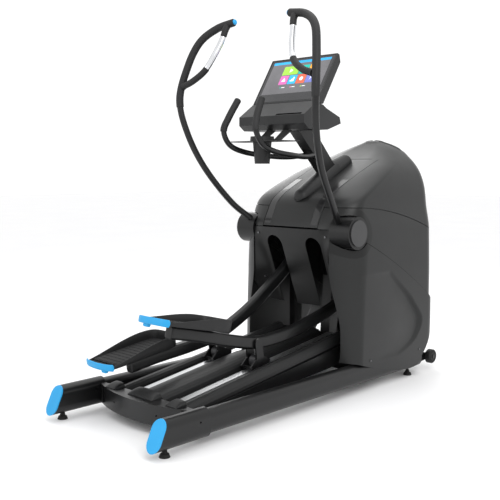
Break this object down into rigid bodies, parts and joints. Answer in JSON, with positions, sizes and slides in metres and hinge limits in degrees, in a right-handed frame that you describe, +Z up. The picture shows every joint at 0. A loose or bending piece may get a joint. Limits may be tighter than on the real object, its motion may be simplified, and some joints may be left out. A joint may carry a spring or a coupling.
{
  "type": "elliptical trainer",
  "caption": "Front-drive elliptical trainer with an inclinable ramp, two pedal arms on rolling carriages, swinging handlebars, a fixed handlebar, a tall drive housing and a display console.",
  "frame": {"origin": "on the floor, under the middle of the machine's overall length and width", "axes": "+Y forward, towards the drive housing; +Z up; +X to the user's right"},
  "size_m": [0.962, 2.112, 1.9275],
  "materials": {
    "frame_black": "satin black powder coat",
    "accent_blue": "smooth bright blue moulding",
    "foot_rubber": "matt black rubber",
    "tyre_black": "matt black rubber",
    "trim_plastic": "fine-textured black plastic",
    "roller_grey": "smooth dark grey nylon",
    "track_aluminium": "clear anodised extrusion",
    "pedal_plastic": "fine-textured black plastic",
    "pad_rubber": "ribbed black rubber",
    "grip_rubber": "soft black grip",
    "contact_chrome": "polished metal plate",
    "drive_steel": "turned steel",
    "flywheel_iron": "machined rim",
    "belt_rubber": "ribbed black belt",
    "console_plastic": "satin black plastic",
    "screen_glass": "black glass front",
    "cover_charcoal": "satin metallic charcoal",
    "fascia_black": "satin black plastic",
    "screw_steel": "plated screw heads"
  },
  "bodies": {
    "base": {"left_base_rail": "frame_black", "right_base_rail": "frame_black", "rail_end_caps": "accent_blue", "levelling_feet": "foot_rubber", "rear_crossmember": "frame_black", "ramp_hinge_covers": "trim_plastic", "front_crossmember": "frame_black", "drive_belt": "belt_rubber", "resistance_brake": "drive_steel", "lift_actuator": "drive_steel", "power_inlet": "trim_plastic", "drive_frame": "frame_black", "console_mast": "frame_black", "mast_boot": "trim_plastic", "console_housing": "console_plastic", "console_screen": "screen_glass", "console_base": "console_plastic", "accessory_tray": "trim_plastic", "cup_holder": "trim_plastic", "fixed_handlebar": "frame_black", "fixed_handle_grips": "grip_rubber", "left_side_cover": "cover_charcoal", "right_side_cover": "cover_charcoal", "left_lower_panel": "cover_charcoal", "right_lower_panel": "cover_charcoal", "upper_shroud": "cover_charcoal", "front_cover": "cover_charcoal", "slotted_fascia": "fascia_black", "cover_screws": "screw_steel"},
    "ramp": {"ramp_frame": "frame_black", "ramp_covers": "trim_plastic", "guide_tracks": "track_aluminium"},
    "left_carriage": {"left_carriage": "frame_black"},
    "right_carriage": {"right_carriage": "frame_black"},
    "left_roller": {"left_roller": "roller_grey"},
    "right_roller": {"right_roller": "roller_grey"},
    "left_arm": {"left_pedal_arm": "frame_black", "left_pedal": "pedal_plastic", "left_pedal_pad": "pad_rubber", "left_pedal_bumper": "accent_blue"},
    "right_arm": {"right_pedal_arm": "frame_black", "right_pedal": "pedal_plastic", "right_pedal_pad": "pad_rubber", "right_pedal_bumper": "accent_blue"},
    "left_handlebar": {"left_handlebar": "frame_black", "left_handle_grip": "grip_rubber", "left_pulse_contact": "contact_chrome", "left_handle_hub": "trim_plastic"},
    "right_handlebar": {"right_handlebar": "frame_black", "right_handle_grip": "grip_rubber", "right_pulse_contact": "contact_chrome", "right_handle_hub": "trim_plastic"},
    "left_switch": {"left_thumb_switch": "accent_blue"},
    "right_switch": {"right_thumb_switch": "accent_blue"},
    "crank": {"crank_set": "drive_steel"},
    "flywheel": {"flywheel": "flywheel_iron"},
    "idler": {"idler_pulley": "drive_steel"},
    "left_wheel": {"left_transport_wheel": "tyre_black"},
    "right_wheel": {"right_transport_wheel": "tyre_black"}
  },
  "joints": [
    {"name": "ramp_incline", "type": "hinge", "parent": "base", "child": "ramp", "pos_m": [0, -0.766, 0.1], "axis": [1, 0, 0], "range_deg": [0, 3.5]},
    {"name": "left_stride", "type": "slide", "parent": "ramp", "child": "left_carriage", "axis": [0, 0.9906, 0.1366], "range_m": [-0.1744, 0.1744]},
    {"name": "right_stride", "type": "slide", "parent": "ramp", "child": "right_carriage", "axis": [0, 0.9906, 0.1366], "range_m": [-0.1744, 0.1744]},
    {"name": "left_arm_tilt", "type": "hinge", "parent": "left_carriage", "child": "left_arm", "pos_m": [-0.134, -0.211, 0.313], "axis": [1, 0, 0], "range_deg": [-20.4, 0]},
    {"name": "right_arm_tilt", "type": "hinge", "parent": "right_carriage", "child": "right_arm", "pos_m": [0.134, -0.211, 0.313], "axis": [1, 0, 0], "range_deg": [0, 20.4]},
    {"name": "left_roll", "type": "hinge", "parent": "left_carriage", "child": "left_roller", "pos_m": [-0.134, -0.19834, 0.22117], "axis": [1, 0, 0], "range_deg": [-340, 340]},
    {"name": "right_roll", "type": "hinge", "parent": "right_carriage", "child": "right_roller", "pos_m": [0.134, -0.19834, 0.22117], "axis": [1, 0, 0], "range_deg": [-340, 340]},
    {"name": "left_handle_swing", "type": "hinge", "parent": "base", "child": "left_handlebar", "pos_m": [-0.3, 0.291, 0.832], "axis": [1, 0, 0], "range_deg": [-13, 13]},
    {"name": "right_handle_swing", "type": "hinge", "parent": "base", "child": "right_handlebar", "pos_m": [0.3, 0.291, 0.832], "axis": [1, 0, 0], "range_deg": [-13, 13]},
    {"name": "left_switch_press", "type": "slide", "parent": "left_handlebar", "child": "left_switch", "axis": [-0.981, -0.1116, -0.159], "range_m": [0, 0.001], "stiffness_N_per_m": 800, "springref_m": -0.0005},
    {"name": "right_switch_press", "type": "slide", "parent": "right_handlebar", "child": "right_switch", "axis": [0.981, -0.1116, -0.159], "range_m": [0, 0.001], "stiffness_N_per_m": 800, "springref_m": -0.0005},
    {"name": "crank_spin", "type": "hinge", "parent": "base", "child": "crank", "pos_m": [0, 0.6718, 0.7135], "axis": [1, 0, 0], "continuous": true},
    {"name": "flywheel_spin", "type": "hinge", "parent": "base", "child": "flywheel", "pos_m": [0, 0.794, 0.33], "axis": [1, 0, 0], "continuous": true},
    {"name": "idler_spin", "type": "hinge", "parent": "base", "child": "idler", "pos_m": [0.062, 0.6523, 0.4506], "axis": [1, 0, 0], "continuous": true},
    {"name": "left_wheel_spin", "type": "hinge", "parent": "base", "child": "left_wheel", "pos_m": [-0.39, 1.016, 0.077], "axis": [1, 0, 0], "continuous": true},
    {"name": "right_wheel_spin", "type": "hinge", "parent": "base", "child": "right_wheel", "pos_m": [0.39, 1.016, 0.077], "axis": [1, 0, 0], "continuous": true}
  ],
  "couplings": [
    {"joint": "right_stride", "follows": "left_stride", "ratio": -1},
    {"joint": "left_handle_swing", "follows": "left_stride", "rad_per_m": 1.257},
    {"joint": "right_handle_swing", "follows": "left_stride", "rad_per_m": -1.257},
    {"joint": "left_roll", "follows": "left_stride", "rad_per_m": -33.333},
    {"joint": "right_roll", "follows": "left_stride", "rad_per_m": 33.333},
    {"joint": "right_arm_tilt", "follows": "left_arm_tilt", "ratio": -1},
    {"joint": "flywheel_spin", "follows": "crank_spin", "ratio": 4.6154},
    {"joint": "idler_spin", "follows": "crank_spin", "ratio": -4.2857}
  ]
}
